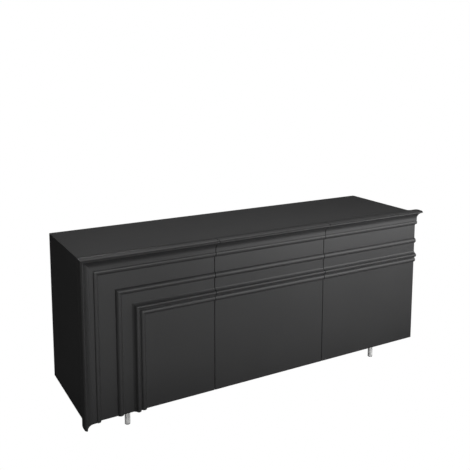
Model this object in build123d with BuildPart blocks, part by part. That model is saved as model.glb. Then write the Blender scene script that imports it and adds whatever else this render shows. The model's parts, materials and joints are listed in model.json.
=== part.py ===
"""Low storage cabinet: three full-height fronts with applied mouldings, on four round legs.

Frame: millimetres, origin at the centre of the footprint on the floor, +Z up, the fronts face -Y.
The moulding sections are drawn with local x running forward from the flat front plane and local y
running in from the outer face of the carcass, so one section serves the top and the left side.
"""

import os

from build123d import *

# Driving dimensions
CARCASS_WIDTH = 1860.0
CARCASS_HEIGHT = 715.0
CARCASS_DEPTH = 522.0  # from the flat front plane to the back
LEG_HEIGHT = 98.0
LEG_DIAMETER = 25.0
LEG_INSET_SIDE = 217.0
LEG_INSET_FRONT = 86.0
LIP_REACH = 55.0  # how far the cornice stands forward of the flat front plane
FLARE_RISE = 18.3  # how far the cornice flares out past the carcass faces
FLARE_START = -60.0  # where the flare leaves the carcass face, behind the front plane

BOARD = 22.0  # thickness of the fronts
FRONT_GAP = 2.5  # between the back of the fronts and the carcass
SEAM = 3.0  # between neighbouring fronts
HORIZONTAL_PANEL = 25.0
SIDE_PANEL = 20.0
BACK_PANEL = 8.0
SHELF = 18.0
BACK_CORNER_RADIUS = 8.0
EDGE_RADIUS = 1.0

# Places that follow from them
LEFT = (FLARE_RISE - CARCASS_WIDTH) / 2
RIGHT = LEFT + CARCASS_WIDTH
FACE = (LIP_REACH - CARCASS_DEPTH) / 2  # y of the flat front plane
BACK = FACE + CARCASS_DEPTH
BASE = LEG_HEIGHT
TOP = BASE + CARCASS_HEIGHT
FRONT_BACK = FACE + BOARD  # y of the back of the fronts
CARCASS_FRONT = FRONT_BACK + FRONT_GAP
INNER_BASE = BASE + HORIZONTAL_PANEL
INNER_TOP = TOP - HORIZONTAL_PANEL
INNER_BACK = BACK - BACK_PANEL
SEAM_LEFT = LEFT + CARCASS_WIDTH / 3
SEAM_RIGHT = LEFT + 2 * CARCASS_WIDTH / 3
FRONTS = {
    "left": (LEFT, SEAM_LEFT - SEAM / 2),
    "middle": (SEAM_LEFT + SEAM / 2, SEAM_RIGHT - SEAM / 2),
    "right": (SEAM_RIGHT + SEAM / 2, RIGHT),
}

# Mouldings, as distances in from the outer face
CORNICE_END = 71.0
TORUS_START, TORUS_END, TORUS_HEIGHT = 143.0, 171.5, 10.8
DOUBLE_START, DOUBLE_END = 217.0, 278.5
RETURN_LET_IN = 6.0

# Pivot hinges
PLATE = 3.0
SLOT_CLEARANCE = 0.3
PIN_DIAMETER = 5.0
PIN_GRIP = 12.0  # length of pin held in the door on each side of the slot
PIN_RUNNING_CLEARANCE = 0.05
PIVOT_SETBACK = 9.0  # behind the flat front plane
PIVOT_OUTSIDE_LEFT = -4.0  # inward from the left face, so it sits in the cornice
PIVOT_INSIDE_RIGHT = 6.0  # inward from the right face
PLATE_EYE_RADIUS = 5.5
PLATE_REACH = 26.0  # from the pivot to the inner edge of the plate's arm
PLATE_ARM = 12.0
PLATE_FOOT = 50.0
PLATE_BACK = 66.0  # from the pivot to the rear edge of the plate
HINGE_SCREW_SPACING = 20.0

# Screws
SCREW_DIAMETER = 4.0
SCREW_HEAD_DIAMETER = 8.0
SCREW_HEAD_HEIGHT = 2.0
SCREW_LENGTH = 15.0
BACK_SCREW_LENGTH = 25.0

# Drawer boxes and runners
RUNNER_THICKNESS = 12.7
RUNNER_LENGTH = 450.0
RUNNER_WALL = 1.2
DRAWER_SIDE = 12.0
DRAWER_BOTTOM = 8.0
DRAWER_LENGTH = 450.0
LOWER_DRAWER = (INNER_BASE + 20.0, 260.0)  # underside, height
UPPER_DRAWER = (INNER_BASE + 340.0, 200.0)
RUNNER_ABOVE_DRAWER_BASE = 60.0

# Small parts
DOWEL_DIAMETER = 8.0
DOWEL_IN_PANEL = 13.0
DOWEL_IN_UPRIGHT = 17.0
SHELF_PIN_DIAMETER = 5.0
SHELF_PIN_DEPTH = 9.0
SHELF_SETBACK = 20.0
SHELF_UNDERSIDE = INNER_BASE + 322.0
LEG_PLATE = 3.0
LEG_PLATE_SIDE = 60.0
LEG_SCREW_SPACING = 44.0
LEG_WALL = 1.5
FOOT_PAD = 4.0
FOOT_SPIGOT = 12.0
CATCH_SIZE = (46.0, 15.0, 12.0)
CATCH_FROM_PARTITION = 8.0
STRIKE_THICKNESS = 1.5

MITRE = Plane(origin=(LEFT, 0, TOP), z_dir=(1, 0, 1))


def top_section(x):
    """Section plane across a moulding that runs along the top edge, drawn at this x."""
    return Plane(origin=(x, FACE, TOP), x_dir=(0, -1, 0), z_dir=(1, 0, 0))


def side_section(z):
    """Section plane across a moulding that runs down the left edge, drawn at this height."""
    return Plane(origin=(LEFT, FACE, z), x_dir=(0, -1, 0), z_dir=(0, 0, 1))


def cornice_bar(plane, length):
    """Flared cornice: nose, hollow, fascia, quirk and small bead; it wraps the board's edge."""
    with BuildPart() as bar:
        with BuildSketch(plane):
            with BuildLine():
                flare_lines()
                ThreePointArc((40, -17.4), (51, -15), (LIP_REACH, -10.5))
                ThreePointArc((LIP_REACH, -10.5), (54, -7.6), (51, -6))
                ThreePointArc((51, -6), (30.6, 3.2), (17, 17))
                ThreePointArc((17, 17), (13.4, 23.6), (12.2, 31))
                Polyline((12.2, 31), (12.2, 44.5), (10.8, 45.2), (10.8, 46.6), (14.2, 48))
                ThreePointArc((14.2, 48), (15.6, 54), (14.2, 60.5))
                Line((14.2, 60.5), (12.6, 61.2))
                ThreePointArc((12.6, 61.2), (11.6, 63.4), (8.5, 64.8))
                ThreePointArc((8.5, 64.8), (2.8, 66.6), (0, CORNICE_END))
                Polyline((0, CORNICE_END), (0, 0), (FLARE_START, 0))
            make_face()
            with BuildLine():
                Polyline((-BOARD, -60), (80, -60), (80, 120), (-BOARD, 120), close=True)
            make_face(mode=Mode.INTERSECT)
        extrude(amount=length)
    return bar.part


def flare_lines():
    """Outer line of the flare: a hollow that leaves the face, then a round up to the crest."""
    ThreePointArc((FLARE_START, 0), (-38.5, -4.1), (-18, -10))
    ThreePointArc((-18, -10), (3, -16.2), (25, -FLARE_RISE))
    Line((25, -FLARE_RISE), (40, -17.4))


def return_bar(plane, length):
    """Strip of the same flare that is let into the carcass behind the fronts."""
    front = FACE - CARCASS_FRONT
    with BuildPart() as bar:
        with BuildSketch(plane):
            with BuildLine():
                flare_lines()
                Polyline((40, -17.4), (40, RETURN_LET_IN), (FLARE_START, RETURN_LET_IN), (FLARE_START, 0))
            make_face()
            with BuildLine():
                Polyline((-90, -60), (front, -60), (front, 60), (-90, 60), close=True)
            make_face(mode=Mode.INTERSECT)
        extrude(amount=length)
    return bar.part


def torus_bar(plane, length):
    """Low bead on the face of the front, a little fuller on its upper side."""
    with BuildPart() as bar:
        with BuildSketch(plane):
            with BuildLine():
                ThreePointArc((0, TORUS_START), (7.2, 148.2), (TORUS_HEIGHT, 156))
                ThreePointArc((TORUS_HEIGHT, 156), (8.6, 165), (0, TORUS_END))
                Line((0, TORUS_END), (0, TORUS_START))
            make_face()
        extrude(amount=length)
    return bar.part


def double_bead_bar(plane, length):
    """Proud bead, a deep groove and a smaller bead that dies into the panel."""
    with BuildPart() as bar:
        with BuildSketch(plane):
            with BuildLine():
                ThreePointArc((0, DOUBLE_START), (4.6, 224), (12, 229.5))
                ThreePointArc((12, 229.5), (16.6, 232.8), (17.8, 237))
                ThreePointArc((17.8, 237), (15.2, 244.5), (7, 249.5))
                Polyline((7, 249.5), (4, 250.3), (4, 253.6))
                ThreePointArc((4, 253.6), (8.6, 256.8), (11, 262.5))
                ThreePointArc((11, 262.5), (11.2, 268), (8.8, 273))
                ThreePointArc((8.8, 273), (6.8, 275.2), (3, 276))
                ThreePointArc((3, 276), (1, 276.8), (0, DOUBLE_END))
                Line((0, DOUBLE_END), (0, DOUBLE_START))
            make_face()
        extrude(amount=length)
    return bar.part


def slab(x, y, z):
    """Board between three pairs of limits."""
    with BuildPart() as board:
        with BuildSketch(Plane.XY.offset(z[0])):
            with Locations(((x[0] + x[1]) / 2, (y[0] + y[1]) / 2)):
                Rectangle(x[1] - x[0], y[1] - y[0])
        extrude(amount=z[1] - z[0])
    return board.part


def countersunk_screw(head_plane, length=SCREW_LENGTH):
    """Countersunk screw with its head flush in a plane whose normal points out of the wood."""
    radius, head_radius = SCREW_DIAMETER / 2, SCREW_HEAD_DIAMETER / 2
    with BuildPart() as screw:
        with BuildSketch(head_plane):
            Circle(head_radius)
        with BuildSketch(head_plane.offset(-SCREW_HEAD_HEIGHT)):
            Circle(radius)
        loft()
        with BuildSketch(head_plane.offset(-SCREW_HEAD_HEIGHT)):
            Circle(radius)
        extrude(amount=-(length - SCREW_HEAD_HEIGHT))
    return screw.part


def group(solids, label):
    """Several separate solids that share one node."""
    return Compound(label=label, children=[part.solid() for part in solids])


def write(part, name):
    """Labels a finished piece and writes its file."""
    part.label = name
    export_step(part, f"parts/{name}.step")


os.makedirs("parts", exist_ok=True)

# ---------------------------------------------------------------- places of the repeated hardware

LEG_SPOTS = {
    "front_left_leg": (LEFT + LEG_INSET_SIDE, FACE + LEG_INSET_FRONT),
    "front_right_leg": (RIGHT - LEG_INSET_SIDE, FACE + LEG_INSET_FRONT),
    "rear_left_leg": (LEFT + LEG_INSET_SIDE, BACK - LEG_INSET_FRONT),
    "rear_right_leg": (RIGHT - LEG_INSET_SIDE, BACK - LEG_INSET_FRONT),
}
LEG_SCREW_SPOTS = [
    (x + dx, y + dy)
    for x, y in LEG_SPOTS.values()
    for dx in (-LEG_SCREW_SPACING / 2, LEG_SCREW_SPACING / 2)
    for dy in (-LEG_SCREW_SPACING / 2, LEG_SCREW_SPACING / 2)
]
leg_screws = [
    countersunk_screw(Plane(origin=(x, y, BASE - LEG_PLATE), z_dir=(0, 0, -1))) for x, y in LEG_SCREW_SPOTS
]

PIVOT_Y = FACE + PIVOT_SETBACK
PIVOT_X = {"left": LEFT + PIVOT_OUTSIDE_LEFT, "right": RIGHT - PIVOT_INSIDE_RIGHT}
INWARD = {"left": 1, "right": -1}
PLATE_Z = {"lower": INNER_BASE, "upper": INNER_TOP - PLATE}
HINGES = [(side, level) for side in ("left", "right") for level in ("lower", "upper")]


def hinge_screw_planes(side, level):
    """Head planes of the screws through the foot of one hinge plate."""
    x = PIVOT_X[side] + INWARD[side] * (PLATE_FOOT - 14)
    z, out = (INNER_BASE + PLATE, 1) if level == "lower" else (INNER_TOP - PLATE, -1)
    y = PIVOT_Y + PLATE_BACK - 12
    return [Plane(origin=(x, y - step * HINGE_SCREW_SPACING, z), z_dir=(0, 0, out)) for step in range(2)]


hinge_screws = [countersunk_screw(plane) for hinge in HINGES for plane in hinge_screw_planes(*hinge)]

BACK_SCREW_ZS = [BASE + CARCASS_HEIGHT * step / 5 for step in range(1, 5)]
back_screws = [
    countersunk_screw(Plane(origin=(x, BACK, z), z_dir=(0, 1, 0)), BACK_SCREW_LENGTH)
    for x in (SEAM_LEFT, SEAM_RIGHT)
    for z in BACK_SCREW_ZS
]

UPRIGHT_CENTRES = (LEFT + SIDE_PANEL / 2, SEAM_LEFT, SEAM_RIGHT, RIGHT - SIDE_PANEL / 2)
DOWEL_YS = (CARCASS_FRONT + 90, (CARCASS_FRONT + BACK) / 2, BACK - 60)
DOWEL_BOTTOMS = (INNER_BASE - DOWEL_IN_PANEL, INNER_TOP - DOWEL_IN_UPRIGHT)
dowels = []
for z in DOWEL_BOTTOMS:
    for x in UPRIGHT_CENTRES:
        for y in DOWEL_YS:
            with BuildPart() as dowel:
                with BuildSketch(Plane.XY.offset(z)):
                    with Locations((x, y)):
                        Circle(DOWEL_DIAMETER / 2)
                extrude(amount=DOWEL_IN_PANEL + DOWEL_IN_UPRIGHT)
                chamfer(dowel.edges().filter_by(GeomType.CIRCLE), 0.8)
            dowels.append(dowel.part)

# ---------------------------------------------------------------- carcass panels

RETURN_WIDTH = CARCASS_FRONT - FACE + FLARE_START  # negative: the strip runs back from the front
RETURN_BACK = FACE - FLARE_START

with BuildPart() as top_panel:
    add(slab((LEFT, RIGHT), (CARCASS_FRONT, BACK), (INNER_TOP, TOP)))
    fillet(top_panel.edges().filter_by(Axis.Z).group_by(Axis.Y)[-1], BACK_CORNER_RADIUS)
    add(slab((LEFT, RIGHT), (CARCASS_FRONT, RETURN_BACK), (TOP - RETURN_LET_IN, TOP)), mode=Mode.SUBTRACT)
    add(
        slab((LEFT, LEFT + RETURN_LET_IN), (CARCASS_FRONT, RETURN_BACK), (INNER_TOP, TOP)),
        mode=Mode.SUBTRACT,
    )
    for piece in dowels[len(dowels) // 2 :]:
        add(piece, mode=Mode.SUBTRACT)
    for piece in hinge_screws:
        add(piece, mode=Mode.SUBTRACT)
write(top_panel.part, "top_panel")

with BuildPart() as bottom_panel:
    add(slab((LEFT, RIGHT), (CARCASS_FRONT, BACK), (BASE, INNER_BASE)))
    fillet(bottom_panel.edges().filter_by(Axis.Z).group_by(Axis.Y)[-1], BACK_CORNER_RADIUS)
    add(
        slab((LEFT, LEFT + RETURN_LET_IN), (CARCASS_FRONT, RETURN_BACK), (BASE, INNER_BASE)),
        mode=Mode.SUBTRACT,
    )
    for piece in dowels[: len(dowels) // 2] + hinge_screws + leg_screws:
        add(piece, mode=Mode.SUBTRACT)
write(bottom_panel.part, "bottom_panel")

PLATE_NOTCH_BACK = PIVOT_Y + PLATE_BACK
with BuildPart() as left_side_panel:
    add(slab((LEFT, LEFT + SIDE_PANEL), (CARCASS_FRONT, BACK), (INNER_BASE, INNER_TOP)))
    rear_edges = left_side_panel.edges().filter_by(Axis.Z).group_by(Axis.Y)[-1].sort_by(Axis.X)
    fillet(rear_edges[0], BACK_CORNER_RADIUS)
    add(
        slab((LEFT, LEFT + RETURN_LET_IN), (CARCASS_FRONT, RETURN_BACK), (INNER_BASE, INNER_TOP)),
        mode=Mode.SUBTRACT,
    )
    for z in PLATE_Z.values():
        notch_left = PIVOT_X["left"] + PLATE_REACH - PLATE_ARM
        add(
            slab((notch_left, LEFT + SIDE_PANEL), (CARCASS_FRONT, PLATE_NOTCH_BACK), (z, z + PLATE)),
            mode=Mode.SUBTRACT,
        )
    for piece in dowels:
        add(piece, mode=Mode.SUBTRACT)
write(left_side_panel.part, "left_side_panel")

with BuildPart() as right_side_panel:
    add(slab((RIGHT - SIDE_PANEL, RIGHT), (CARCASS_FRONT, BACK), (INNER_BASE, INNER_TOP)))
    rear_edges = right_side_panel.edges().filter_by(Axis.Z).group_by(Axis.Y)[-1].sort_by(Axis.X)
    fillet(rear_edges[-1], BACK_CORNER_RADIUS)
    for piece in dowels:
        add(piece, mode=Mode.SUBTRACT)
write(right_side_panel.part, "right_side_panel")

with BuildPart() as back_panel:
    add(slab((LEFT + SIDE_PANEL, RIGHT - SIDE_PANEL), (INNER_BACK, BACK), (INNER_BASE, INNER_TOP)))
    for piece in back_screws:
        add(piece, mode=Mode.SUBTRACT)
write(back_panel.part, "back_panel")
write(group(back_screws, "back_panel_screws"), "back_panel_screws")

# ---------------------------------------------------------------- shelves, partitions, dowels

BAYS = {
    "left": (LEFT + SIDE_PANEL, SEAM_LEFT - SIDE_PANEL / 2),
    "right": (SEAM_RIGHT + SIDE_PANEL / 2, RIGHT - SIDE_PANEL),
}
SHELF_SIDE_GAP = 1.0
SHELF_FRONT = CARCASS_FRONT + SHELF_SETBACK
SHELF_BACK = INNER_BACK - 2
SHELF_PIN_YS = (SHELF_FRONT + 50, SHELF_BACK - 50)

shelf_pins = []
for low, high in BAYS.values():
    for wall in (low, high):
        for y in SHELF_PIN_YS:
            pin_plane = Plane(
                origin=(wall - SHELF_PIN_DEPTH, y, SHELF_UNDERSIDE - SHELF_PIN_DIAMETER / 2),
                z_dir=(1, 0, 0),
            )
            with BuildPart() as shelf_pin:
                with BuildSketch(pin_plane):
                    Circle(SHELF_PIN_DIAMETER / 2)
                extrude(amount=2 * SHELF_PIN_DEPTH)
            shelf_pins.append(shelf_pin.part)

for name, centre in (("left_partition", SEAM_LEFT), ("right_partition", SEAM_RIGHT)):
    with BuildPart() as partition:
        add(
            slab(
                (centre - SIDE_PANEL / 2, centre + SIDE_PANEL / 2),
                (CARCASS_FRONT, INNER_BACK),
                (INNER_BASE, INNER_TOP),
            )
        )
        for piece in dowels + shelf_pins + back_screws:
            add(piece, mode=Mode.SUBTRACT)
    write(partition.part, name)

for name, panel in (("left_side_panel", left_side_panel), ("right_side_panel", right_side_panel)):
    with BuildPart() as bored_side:
        add(panel.part)
        for piece in shelf_pins:
            add(piece, mode=Mode.SUBTRACT)
    write(bored_side.part, name)

for name, (low, high) in BAYS.items():
    with BuildPart() as shelf:
        add(
            slab(
                (low + SHELF_SIDE_GAP, high - SHELF_SIDE_GAP),
                (SHELF_FRONT, SHELF_BACK),
                (SHELF_UNDERSIDE, SHELF_UNDERSIDE + SHELF),
            )
        )
        fillet(shelf.edges().filter_by(Axis.X).group_by(Axis.Y)[0], EDGE_RADIUS)
    write(shelf.part, f"{name}_shelf")

write(group(shelf_pins, "shelf_pins"), "shelf_pins")
write(group(dowels, "carcass_dowels"), "carcass_dowels")

# ---------------------------------------------------------------- cornice returns on the carcass

MITRE_RUN = 40.0  # extra length that the mitre cuts away

with BuildPart() as cornice_return_top:
    add(return_bar(top_section(LEFT - MITRE_RUN), CARCASS_WIDTH + MITRE_RUN))
    split(bisect_by=MITRE, keep=Keep.TOP)
write(cornice_return_top.part, "cornice_return_top")

with BuildPart() as cornice_return_side:
    add(return_bar(side_section(BASE), CARCASS_HEIGHT + MITRE_RUN))
    split(bisect_by=MITRE, keep=Keep.BOTTOM)
write(cornice_return_side.part, "cornice_return_side")

# ---------------------------------------------------------------- legs

for name, (x, y) in LEG_SPOTS.items():
    with BuildPart() as leg:
        with BuildSketch(Plane.XY.offset(FOOT_PAD)):
            with Locations((x, y)):
                Circle(LEG_DIAMETER / 2)
                Circle(LEG_DIAMETER / 2 - LEG_WALL, mode=Mode.SUBTRACT)
        extrude(amount=LEG_HEIGHT - LEG_PLATE - FOOT_PAD)
    write(leg.part, name)

leg_plates = []
foot_pads = []
for x, y in LEG_SPOTS.values():
    with BuildPart() as leg_plate:
        with BuildSketch(Plane.XY.offset(BASE - LEG_PLATE)):
            with Locations((x, y)):
                RectangleRounded(LEG_PLATE_SIDE, LEG_PLATE_SIDE, 6)
        extrude(amount=LEG_PLATE)
        for piece in leg_screws:
            add(piece, mode=Mode.SUBTRACT)
    leg_plates.append(leg_plate.part)
    with BuildPart() as foot_pad:
        with BuildSketch():
            with Locations((x, y)):
                Circle(LEG_DIAMETER / 2)
        extrude(amount=FOOT_PAD)
        chamfer(foot_pad.edges().group_by(Axis.Z)[0], 0.8)
        with BuildSketch(Plane.XY.offset(FOOT_PAD)):
            with Locations((x, y)):
                Circle(LEG_DIAMETER / 2 - LEG_WALL)
        extrude(amount=FOOT_SPIGOT)
    foot_pads.append(foot_pad.part)
write(group(leg_plates, "leg_plates"), "leg_plates")
write(group(foot_pads, "foot_pads"), "foot_pads")
write(group(leg_screws, "leg_screws"), "leg_screws")

# ---------------------------------------------------------------- pivot hinges and catches

for side, level in HINGES:
    x, inward = PIVOT_X[side], INWARD[side]
    arm_outer = x + inward * (PLATE_REACH - PLATE_ARM)
    arm_inner = x + inward * PLATE_REACH
    with BuildPart() as hinge_plate:
        with BuildSketch(Plane.XY.offset(PLATE_Z[level])):
            with Locations((x, PIVOT_Y)):
                Circle(PLATE_EYE_RADIUS)
            with BuildLine():
                Polyline(
                    (x, PIVOT_Y - PLATE_EYE_RADIUS),
                    (arm_inner, PIVOT_Y - PLATE_EYE_RADIUS),
                    (arm_inner, PIVOT_Y + 24),
                    (x + inward * PLATE_FOOT, PIVOT_Y + 30),
                    (x + inward * PLATE_FOOT, PIVOT_Y + PLATE_BACK),
                    (arm_outer, PIVOT_Y + PLATE_BACK),
                    (arm_outer, PIVOT_Y + PLATE_EYE_RADIUS),
                    (x, PIVOT_Y + PLATE_EYE_RADIUS),
                    close=True,
                )
            make_face()
            with Locations((x, PIVOT_Y)):
                Circle(PIN_DIAMETER / 2 + PIN_RUNNING_CLEARANCE, mode=Mode.SUBTRACT)
        extrude(amount=PLATE)
        for piece in hinge_screws:
            add(piece, mode=Mode.SUBTRACT)
    write(hinge_plate.part, f"{side}_{level}_hinge_plate")
write(group(hinge_screws, "hinge_screws"), "hinge_screws")

CATCH_X = {
    "left": BAYS["left"][1] - CATCH_FROM_PARTITION - CATCH_SIZE[0] / 2,
    "right": BAYS["right"][0] + CATCH_FROM_PARTITION + CATCH_SIZE[0] / 2,
}
CATCH_PROUD = 0.5  # stands forward of the carcass edge to meet the strike
for side, x in CATCH_X.items():
    half = CATCH_SIZE[0] / 2
    catch_front = CARCASS_FRONT - CATCH_PROUD
    with BuildPart() as catch:
        add(
            slab(
                (x - half, x + half),
                (catch_front, catch_front + CATCH_SIZE[1]),
                (INNER_TOP - CATCH_SIZE[2], INNER_TOP),
            )
        )
        fillet(catch.edges().filter_by(Axis.Y).group_by(Axis.Z)[0], 2)
    write(catch.part, f"{side}_door_catch")

# ---------------------------------------------------------------- fronts


def pivot_pin(side, level):
    """Pin that spans the slot for the hinge plate and is held in the door above and below it."""
    with BuildPart() as pin:
        with BuildSketch(Plane.XY.offset(PLATE_Z[level] - PIN_GRIP)):
            with Locations((PIVOT_X[side], PIVOT_Y)):
                Circle(PIN_DIAMETER / 2)
        extrude(amount=PLATE + 2 * PIN_GRIP)
    return pin.part


def hinge_slot(side, level):
    """Space in the door's edge that the hinge plate needs as the door turns about it."""
    x, inward = PIVOT_X[side], INWARD[side]
    ends = sorted((x + inward * (PLATE_REACH + 3), x - inward * 30))
    z = PLATE_Z[level]
    return slab(
        ends,
        (PIVOT_Y - PLATE_EYE_RADIUS - 1, FRONT_BACK + 5),
        (z - SLOT_CLEARANCE, z + PLATE + SLOT_CLEARANCE),
    )


pins = {side: [pivot_pin(side, level) for level in PLATE_Z] for side in PIVOT_X}
slots = {side: [hinge_slot(side, level) for level in PLATE_Z] for side in PIVOT_X}

for front, (low, high) in FRONTS.items():
    body = {"left": "left_door", "middle": "middle_front", "right": "right_door"}[front]
    with BuildPart() as board:
        add(slab((low, high), (FACE, FRONT_BACK), (BASE, TOP)))
        fillet(board.edges().filter_by(Axis.Z), EDGE_RADIUS)
        if front in pins:
            for piece in pins[front] + slots[front]:
                add(piece, mode=Mode.SUBTRACT)
    write(board.part, f"{body}_board")

for front, body in (("middle", "middle_front"), ("right", "right_door")):
    low, high = FRONTS[front]
    write(cornice_bar(top_section(low), high - low), f"{body}_cornice")
    write(torus_bar(top_section(low), high - low), f"{body}_torus")
    write(double_bead_bar(top_section(low), high - low), f"{body}_double_bead")

left_end = FRONTS["left"][1]
for name, bar in (("cornice", cornice_bar), ("torus", torus_bar), ("double_bead", double_bead_bar)):
    with BuildPart() as mitred_top:
        add(bar(top_section(LEFT - MITRE_RUN), left_end - LEFT + MITRE_RUN))
        split(bisect_by=MITRE, keep=Keep.TOP)
    write(mitred_top.part, f"left_door_{name}_top")
    with BuildPart() as mitred_side:
        add(bar(side_section(BASE), CARCASS_HEIGHT + MITRE_RUN))
        split(bisect_by=MITRE, keep=Keep.BOTTOM)
        if name == "cornice":
            for piece in pins["left"] + slots["left"]:
                add(piece, mode=Mode.SUBTRACT)
    write(mitred_side.part, f"left_door_{name}_side")

for side in PIVOT_X:
    write(group(pins[side], f"{side}_door_pins"), f"{side}_door_pins")

for side, x in CATCH_X.items():
    half = CATCH_SIZE[0] / 2
    with BuildPart() as strike:
        add(
            slab(
                (x - half, x + half),
                (FRONT_BACK, FRONT_BACK + STRIKE_THICKNESS),
                (INNER_TOP - CATCH_SIZE[2], INNER_TOP - 1),
            )
        )
    write(strike.part, f"{side}_door_strike")

# ---------------------------------------------------------------- drawer boxes behind the middle front

DRAWER_LEFT = SEAM_LEFT + SIDE_PANEL / 2 + RUNNER_THICKNESS
DRAWER_RIGHT = SEAM_RIGHT - SIDE_PANEL / 2 - RUNNER_THICKNESS
DRAWER_BACK = FRONT_BACK + DRAWER_LENGTH
for name, (underside, height) in (("lower_drawer", LOWER_DRAWER), ("upper_drawer", UPPER_DRAWER)):
    box_z = (underside, underside + height)
    floor_top = underside + DRAWER_BOTTOM
    inner_x = (DRAWER_LEFT + DRAWER_SIDE, DRAWER_RIGHT - DRAWER_SIDE)
    pieces = {
        "left_side": ((DRAWER_LEFT, inner_x[0]), (FRONT_BACK, DRAWER_BACK), box_z),
        "right_side": ((inner_x[1], DRAWER_RIGHT), (FRONT_BACK, DRAWER_BACK), box_z),
        "inner_front": (inner_x, (FRONT_BACK, FRONT_BACK + DRAWER_SIDE), box_z),
        "back": (inner_x, (DRAWER_BACK - DRAWER_SIDE, DRAWER_BACK), box_z),
        "bottom": (
            inner_x,
            (FRONT_BACK + DRAWER_SIDE, DRAWER_BACK - DRAWER_SIDE),
            (underside, floor_top),
        ),
    }
    for piece_name, limits in pieces.items():
        with BuildPart() as drawer_piece:
            add(slab(*limits))
            if piece_name != "bottom":
                fillet(drawer_piece.faces().sort_by(Axis.Z)[-1].edges().group_by(SortBy.LENGTH)[-1], 2)
        write(drawer_piece.part, f"{name}_{piece_name}")

# ---------------------------------------------------------------- telescopic runners

# Each member is a channel: web position and flange end, from the partition towards the drawer,
# half height, and where it starts behind the back of the front.
RUNNER_MEMBERS = {
    "outer": ((0.0, RUNNER_WALL), (0.0, 9.0), 23.0),
    "middle": ((3.0, 3.0 + RUNNER_WALL), (3.0, 10.4), 20.0),
    "inner": ((RUNNER_THICKNESS - RUNNER_WALL, RUNNER_THICKNESS), (5.5, RUNNER_THICKNESS), 17.0),
}
RUNNER_START = CARCASS_FRONT + 2


def runner_member(wall, toward_drawer, centre_z, web, flange, half_height):
    """Channel section run along Y; wall is the partition face it is measured from."""

    def across(distances):
        return sorted(wall + toward_drawer * distance for distance in distances)

    along = (RUNNER_START, RUNNER_START + RUNNER_LENGTH - 6)
    with BuildPart() as member:
        add(slab(across(web), along, (centre_z - half_height, centre_z + half_height)))
        add(slab(across(flange), along, (centre_z - half_height, centre_z - half_height + RUNNER_WALL)))
        add(slab(across(flange), along, (centre_z + half_height - RUNNER_WALL, centre_z + half_height)))
    return member.part


for member_name, section in RUNNER_MEMBERS.items():
    members = [
        runner_member(wall, toward, underside + RUNNER_ABOVE_DRAWER_BASE, *section)
        for underside, _ in (LOWER_DRAWER, UPPER_DRAWER)
        for wall, toward in ((SEAM_LEFT + SIDE_PANEL / 2, 1), (SEAM_RIGHT - SIDE_PANEL / 2, -1))
    ]
    write(group(members, f"runner_{member_name}_members"), f"runner_{member_name}_members")
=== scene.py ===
"""Black lacquered sideboard: its looks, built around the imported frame, in metres and the frame's axes.

A moulding's section lists points in millimetres as (v, u): v is how far a point stands forward of the
flat front plane, and u is how far in it lies from the outer face of the carcass, down from the top or
right from the left side.
"""

import json
import math

import bmesh
import bpy
from mathutils import Matrix, Vector


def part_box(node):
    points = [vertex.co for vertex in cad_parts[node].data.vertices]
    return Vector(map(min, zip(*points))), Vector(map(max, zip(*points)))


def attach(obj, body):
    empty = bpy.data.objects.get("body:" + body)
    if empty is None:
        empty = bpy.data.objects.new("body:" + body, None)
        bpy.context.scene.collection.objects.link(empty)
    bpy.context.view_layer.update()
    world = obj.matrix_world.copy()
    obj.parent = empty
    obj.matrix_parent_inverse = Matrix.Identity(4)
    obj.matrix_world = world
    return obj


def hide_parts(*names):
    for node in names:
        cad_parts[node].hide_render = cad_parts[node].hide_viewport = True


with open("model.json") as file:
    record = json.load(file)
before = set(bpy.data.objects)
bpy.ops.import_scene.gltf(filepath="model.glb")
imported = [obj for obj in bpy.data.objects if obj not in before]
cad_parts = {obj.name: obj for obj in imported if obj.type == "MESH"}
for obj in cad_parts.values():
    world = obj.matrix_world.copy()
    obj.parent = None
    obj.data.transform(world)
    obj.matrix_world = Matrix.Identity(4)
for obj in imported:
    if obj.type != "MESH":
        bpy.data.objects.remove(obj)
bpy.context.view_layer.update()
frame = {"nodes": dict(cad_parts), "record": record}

MM = 0.001


def span(node, axis):
    """Lowest and highest value of a CAD node along one axis."""
    low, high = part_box(node)
    return low[axis], high[axis]


LEFT, RIGHT = span("top_panel", 0)
TOP = span("top_panel", 2)[1]
BASE = span("bottom_panel", 2)[0]
FACE, FRONT_BACK = span("middle_front_board", 1)
CARCASS_FRONT, BACK = span("top_panel", 1)

REAR_CORNER = 8 * MM  # rounding of the carcass's rear corners
ARRIS = 0.8 * MM  # softened edge of a lacquered board
HAIRLINE = 0.12 * MM  # softened edge where two boards are glued and lacquered over
RIM = 0.5 * MM  # softened end of a moulding
PAST = 5 * MM  # how far a cutter runs past the board it cuts

# ---------------------------------------------------------------- outlines


def arc(start, through, end, steps=8):
    """Points of the circular arc from start through a middle point, without the last one."""
    (ax, ay), (bx, by), (cx, cy) = start, through, end
    d = 2 * (ax * (by - cy) + bx * (cy - ay) + cx * (ay - by))
    a2, b2, c2 = ax * ax + ay * ay, bx * bx + by * by, cx * cx + cy * cy
    ux = (a2 * (by - cy) + b2 * (cy - ay) + c2 * (ay - by)) / d
    uy = (a2 * (cx - bx) + b2 * (ax - cx) + c2 * (bx - ax)) / d
    radius = math.hypot(ax - ux, ay - uy)
    first = math.atan2(ay - uy, ax - ux)
    middle = (math.atan2(by - uy, bx - ux) - first) % math.tau
    sweep = (math.atan2(cy - uy, cx - ux) - first) % math.tau
    if middle > sweep:
        sweep -= math.tau
    turns = [first + sweep * i / steps for i in range(steps)]
    return [(ux + radius * math.cos(turn), uy + radius * math.sin(turn)) for turn in turns]


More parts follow.
